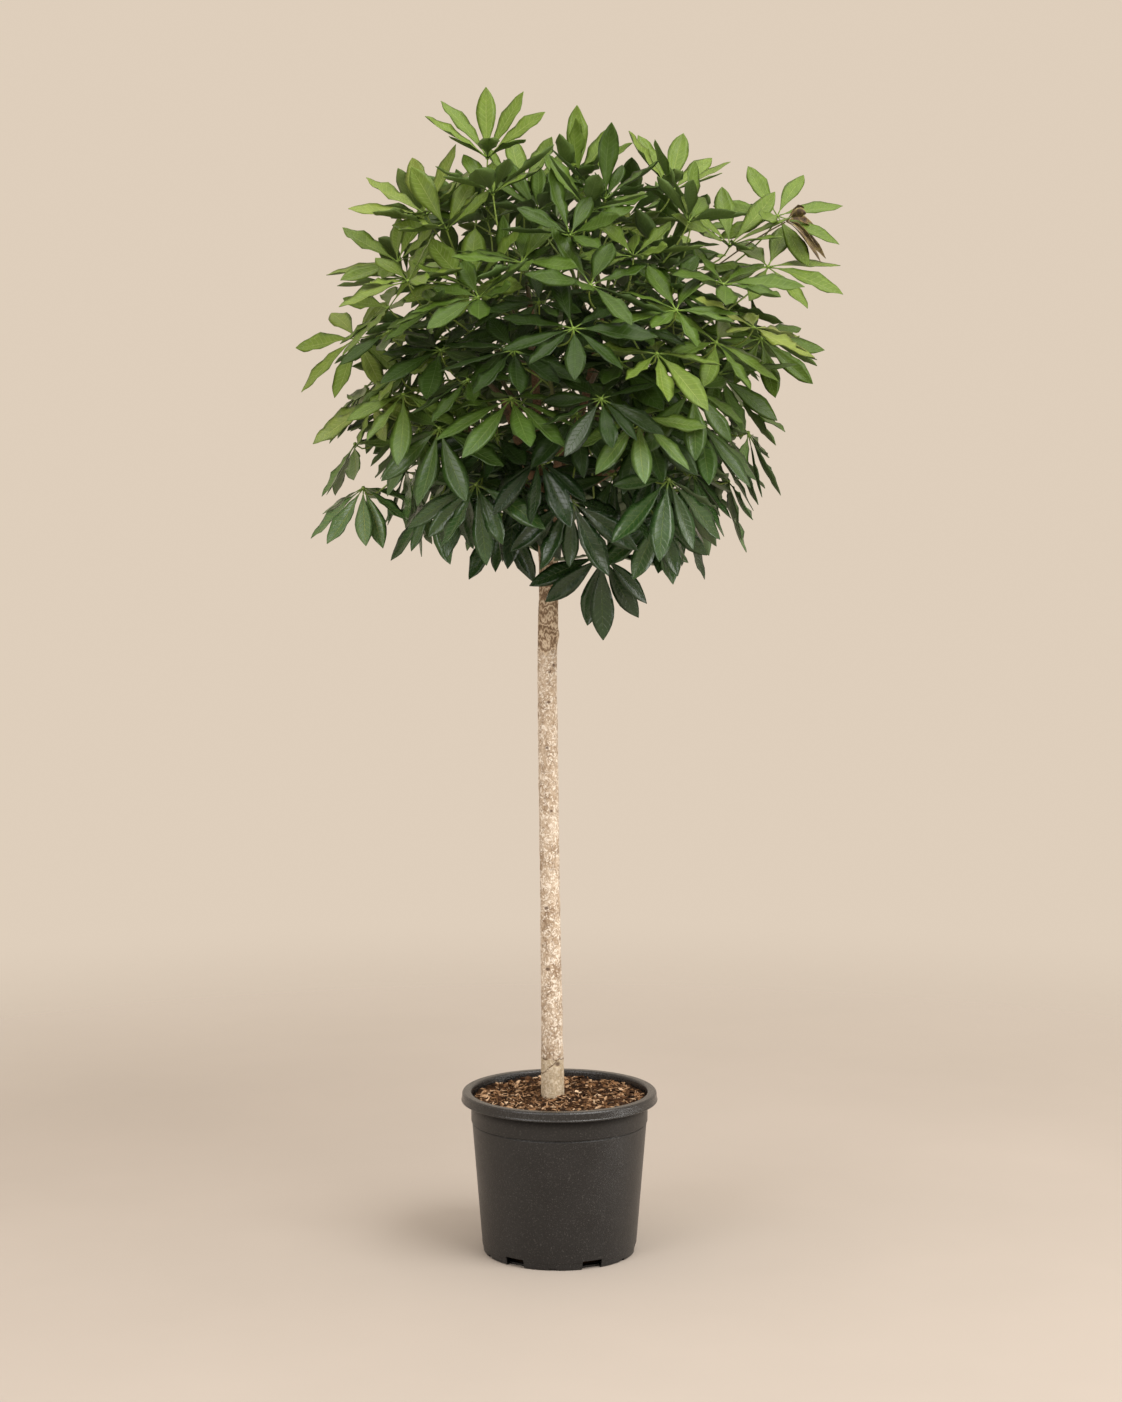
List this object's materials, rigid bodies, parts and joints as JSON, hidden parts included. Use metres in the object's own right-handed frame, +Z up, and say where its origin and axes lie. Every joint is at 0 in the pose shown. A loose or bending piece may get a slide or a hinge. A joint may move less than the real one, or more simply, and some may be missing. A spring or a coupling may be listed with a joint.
{
  "type": "potted umbrella plant",
  "caption": "House plant grown as a small standard tree: a round crown of palmate leaves on a bare trunk, in a tapered nursery pot with a rolled rim.",
  "frame": {"origin": "centre of the underside of the pot's foot, on the floor", "axes": "+Z up along the trunk, -Y towards the front of the plant, +X to its right"},
  "size_m": [0.854, 0.7983, 1.8255],
  "materials": {
    "pot_plastic": "matte",
    "potting_mix": "matte",
    "bark": "matte",
    "leaf": "satin",
    "dried_leaf": "matte"
  },
  "bodies": {
    "root": {"nursery_pot": "pot_plastic", "potting_mix": "potting_mix", "trunk": "bark", "leafy_shoot_01": "leaf", "leafy_shoot_02": "leaf", "leafy_shoot_03": "leaf", "leafy_shoot_04": "leaf", "leafy_shoot_05": "leaf", "leafy_shoot_06": "leaf", "leafy_shoot_07": "leaf", "leafy_shoot_08": "leaf", "leafy_shoot_09": "leaf", "leafy_shoot_10": "leaf", "leafy_shoot_11": "leaf", "leafy_shoot_12": "leaf", "leafy_shoot_13": "leaf", "leafy_shoot_14": "leaf", "leafy_shoot_15": "leaf", "leafy_shoot_16": "leaf", "leafy_shoot_17": "leaf", "leafy_shoot_18": "leaf", "leafy_shoot_19": "leaf", "leafy_shoot_20": "leaf", "leafy_shoot_21": "leaf", "leafy_shoot_22": "leaf", "leafy_shoot_23": "leaf", "leafy_shoot_24": "leaf", "leafy_shoot_25": "leaf", "leafy_shoot_26": "leaf", "withered_leaf": "dried_leaf"}
  },
  "joints": []
}
